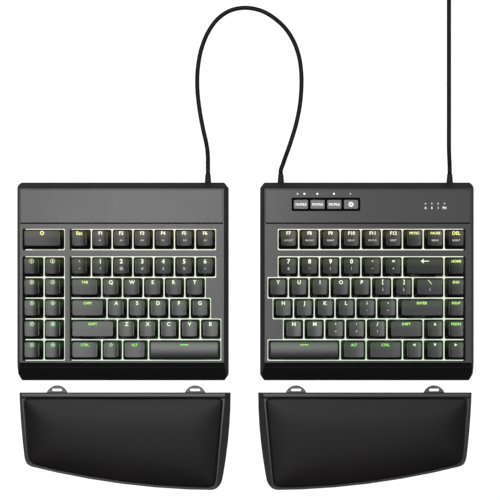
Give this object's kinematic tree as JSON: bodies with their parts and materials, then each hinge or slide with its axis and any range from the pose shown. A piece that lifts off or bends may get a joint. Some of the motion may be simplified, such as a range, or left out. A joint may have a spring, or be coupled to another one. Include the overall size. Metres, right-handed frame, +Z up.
{
  "type": "split keyboard",
  "caption": "Split ergonomic keyboard: two key modules joined by a cable, with docking palm rests, rear buttons and a USB cable.",
  "frame": {"origin": "middle of the footprint of both modules and both palm rests, on the desk under the feet", "axes": "+X to the typist's right, +Y away from the typist to the rear, +Z up"},
  "size_m": [0.4221, 0.5361, 0.0293],
  "materials": {
    "case": "satin moulded plastic, dark grey deck over near-black sides",
    "base": "fine textured black plastic",
    "panel": "satin grey plastic",
    "keycap": "fine textured black plastic with light-passing legends",
    "plate": "white painted plate lit from below",
    "board": "green circuit board lacquer",
    "switch": "moulded switch housing",
    "wire": "stabilizer housing and wire",
    "steel": "zinc-plated steel",
    "rubber": "matt rubber",
    "bezel": "gloss black plastic",
    "button": "satin grey plastic",
    "lens": "clear light guide",
    "cable": "smooth black cable jacket",
    "plug_metal": "bright metal shell",
    "palm_case": "satin dark grey plastic",
    "palm_pad": "black leatherette"
  },
  "bodies": {
    "left_module": {"left_top_case": "case", "left_rear_panel": "panel", "left_bottom_case": "base", "left_screws": "steel", "left_feet": "rubber", "left_switch_plate": "plate", "left_circuit_board": "board", "left_switch_housings": "switch", "left_stabilizers": "wire", "left_bridge_boot": "rubber", "bridge_cable": "cable"},
    "right_module": {"right_top_case": "case", "right_rear_panel": "panel", "right_bottom_case": "base", "right_screws": "steel", "right_feet": "rubber", "right_switch_plate": "plate", "right_circuit_board": "board", "right_switch_housings": "switch", "right_stabilizers": "wire", "right_bridge_boot": "rubber", "button_bezel": "bezel", "indicator_lenses": "lens", "usb_boot": "rubber", "usb_cable": "cable", "usb_cable_coil": "cable", "usb_cable_tie": "rubber", "usb_plug_body": "rubber", "usb_plug_shell": "plug_metal"},
    "left_palm_rest": {"left_palm_base": "palm_case", "left_palm_pad": "palm_pad", "left_palm_feet": "rubber"},
    "right_palm_rest": {"right_palm_base": "palm_case", "right_palm_pad": "palm_pad", "right_palm_feet": "rubber"},
    "left_macro_bar_key": {"left_macro_bar_key": "keycap"},
    "left_macro_keys": {"left_macro_keys": "keycap"},
    "left_function_keys": {"left_function_keys": "keycap"},
    "left_number_keys": {"left_number_keys": "keycap"},
    "left_upper_letter_keys": {"left_upper_letter_keys": "keycap"},
    "left_home_letter_keys": {"left_home_letter_keys": "keycap"},
    "left_lower_letter_keys": {"left_lower_letter_keys": "keycap"},
    "left_shift_key": {"left_shift_key": "keycap"},
    "left_bottom_keys": {"left_bottom_keys": "keycap"},
    "left_space_key": {"left_space_key": "keycap"},
    "right_function_keys": {"right_function_keys": "keycap"},
    "right_number_keys": {"right_number_keys": "keycap"},
    "backspace_key": {"backspace_key": "keycap"},
    "right_upper_letter_keys": {"right_upper_letter_keys": "keycap"},
    "right_home_letter_keys": {"right_home_letter_keys": "keycap"},
    "enter_key": {"enter_key": "keycap"},
    "right_lower_letter_keys": {"right_lower_letter_keys": "keycap"},
    "right_bottom_keys": {"right_bottom_keys": "keycap"},
    "right_space_key": {"right_space_key": "keycap"},
    "arrow_keys": {"arrow_keys": "keycap"},
    "navigation_keys": {"navigation_keys": "keycap"},
    "profile_button_1": {"profile_button_1": "button"},
    "profile_button_2": {"profile_button_2": "button"},
    "profile_button_3": {"profile_button_3": "button"},
    "settings_button": {"settings_button": "button"}
  },
  "joints": [
    {"name": "module_spread", "type": "slide", "parent": "left_module", "child": "right_module", "axis": [1, 0, 0], "range_m": [-0.025, 0.2], "deforming": ["bridge_cable"]},
    {"name": "left_palm_dock", "type": "slide", "parent": "left_module", "child": "left_palm_rest", "axis": [0, 1, 0], "range_m": [0, 0.012]},
    {"name": "right_palm_dock", "type": "slide", "parent": "right_module", "child": "right_palm_rest", "axis": [0, 1, 0], "range_m": [0, 0.012]},
    {"name": "left_macro_bar_key_travel", "type": "slide", "parent": "left_module", "child": "left_macro_bar_key", "axis": [0, 0, -1], "range_m": [0, 0.004], "stiffness_N_per_m": 100, "springref_m": -0.003},
    {"name": "left_macro_keys_travel", "type": "slide", "parent": "left_module", "child": "left_macro_keys", "axis": [0, 0, -1], "range_m": [0, 0.004], "stiffness_N_per_m": 1000, "springref_m": -0.003},
    {"name": "left_function_keys_travel", "type": "slide", "parent": "left_module", "child": "left_function_keys", "axis": [0, 0, -1], "range_m": [0, 0.004], "stiffness_N_per_m": 700, "springref_m": -0.003},
    {"name": "left_number_keys_travel", "type": "slide", "parent": "left_module", "child": "left_number_keys", "axis": [0, 0, -1], "range_m": [0, 0.004], "stiffness_N_per_m": 700, "springref_m": -0.003},
    {"name": "left_upper_letter_keys_travel", "type": "slide", "parent": "left_module", "child": "left_upper_letter_keys", "axis": [0, 0, -1], "range_m": [0, 0.004], "stiffness_N_per_m": 600, "springref_m": -0.003},
    {"name": "left_home_letter_keys_travel", "type": "slide", "parent": "left_module", "child": "left_home_letter_keys", "axis": [0, 0, -1], "range_m": [0, 0.004], "stiffness_N_per_m": 600, "springref_m": -0.003},
    {"name": "left_lower_letter_keys_travel", "type": "slide", "parent": "left_module", "child": "left_lower_letter_keys", "axis": [0, 0, -1], "range_m": [0, 0.004], "stiffness_N_per_m": 500, "springref_m": -0.003},
    {"name": "left_shift_key_travel", "type": "slide", "parent": "left_module", "child": "left_shift_key", "axis": [0, 0, -1], "range_m": [0, 0.004], "stiffness_N_per_m": 100, "springref_m": -0.003},
    {"name": "left_bottom_keys_travel", "type": "slide", "parent": "left_module", "child": "left_bottom_keys", "axis": [0, 0, -1], "range_m": [0, 0.004], "stiffness_N_per_m": 300, "springref_m": -0.003},
    {"name": "left_space_key_travel", "type": "slide", "parent": "left_module", "child": "left_space_key", "axis": [0, 0, -1], "range_m": [0, 0.004], "stiffness_N_per_m": 100, "springref_m": -0.003},
    {"name": "right_function_keys_travel", "type": "slide", "parent": "right_module", "child": "right_function_keys", "axis": [0, 0, -1], "range_m": [0, 0.004], "stiffness_N_per_m": 900, "springref_m": -0.003},
    {"name": "right_number_keys_travel", "type": "slide", "parent": "right_module", "child": "right_number_keys", "axis": [0, 0, -1], "range_m": [0, 0.004], "stiffness_N_per_m": 600, "springref_m": -0.003},
    {"name": "backspace_key_travel", "type": "slide", "parent": "right_module", "child": "backspace_key", "axis": [0, 0, -1], "range_m": [0, 0.004], "stiffness_N_per_m": 100, "springref_m": -0.003},
    {"name": "right_upper_letter_keys_travel", "type": "slide", "parent": "right_module", "child": "right_upper_letter_keys", "axis": [0, 0, -1], "range_m": [0, 0.004], "stiffness_N_per_m": 800, "springref_m": -0.003},
    {"name": "right_home_letter_keys_travel", "type": "slide", "parent": "right_module", "child": "right_home_letter_keys", "axis": [0, 0, -1], "range_m": [0, 0.004], "stiffness_N_per_m": 600, "springref_m": -0.003},
    {"name": "enter_key_travel", "type": "slide", "parent": "right_module", "child": "enter_key", "axis": [0, 0, -1], "range_m": [0, 0.004], "stiffness_N_per_m": 100, "springref_m": -0.003},
    {"name": "right_lower_letter_keys_travel", "type": "slide", "parent": "right_module", "child": "right_lower_letter_keys", "axis": [0, 0, -1], "range_m": [0, 0.004], "stiffness_N_per_m": 600, "springref_m": -0.003},
    {"name": "right_bottom_keys_travel", "type": "slide", "parent": "right_module", "child": "right_bottom_keys", "axis": [0, 0, -1], "range_m": [0, 0.004], "stiffness_N_per_m": 200, "springref_m": -0.003},
    {"name": "right_space_key_travel", "type": "slide", "parent": "right_module", "child": "right_space_key", "axis": [0, 0, -1], "range_m": [0, 0.004], "stiffness_N_per_m": 100, "springref_m": -0.003},
    {"name": "arrow_keys_travel", "type": "slide", "parent": "right_module", "child": "arrow_keys", "axis": [0, 0, -1], "range_m": [0, 0.004], "stiffness_N_per_m": 400, "springref_m": -0.003},
    {"name": "navigation_keys_travel", "type": "slide", "parent": "right_module", "child": "navigation_keys", "axis": [0, 0, -1], "range_m": [0, 0.004], "stiffness_N_per_m": 400, "springref_m": -0.003},
    {"name": "profile_button_1_press", "type": "slide", "parent": "right_module", "child": "profile_button_1", "axis": [0, 0, -1], "range_m": [0, 0.001], "stiffness_N_per_m": 800, "springref_m": -0.0005},
    {"name": "profile_button_2_press", "type": "slide", "parent": "right_module", "child": "profile_button_2", "axis": [0, 0, -1], "range_m": [0, 0.001], "stiffness_N_per_m": 800, "springref_m": -0.0005},
    {"name": "profile_button_3_press", "type": "slide", "parent": "right_module", "child": "profile_button_3", "axis": [0, 0, -1], "range_m": [0, 0.001], "stiffness_N_per_m": 800, "springref_m": -0.0005},
    {"name": "settings_button_press", "type": "slide", "parent": "right_module", "child": "settings_button", "axis": [0, 0, -1], "range_m": [0, 0.001], "stiffness_N_per_m": 800, "springref_m": -0.0005}
  ]
}
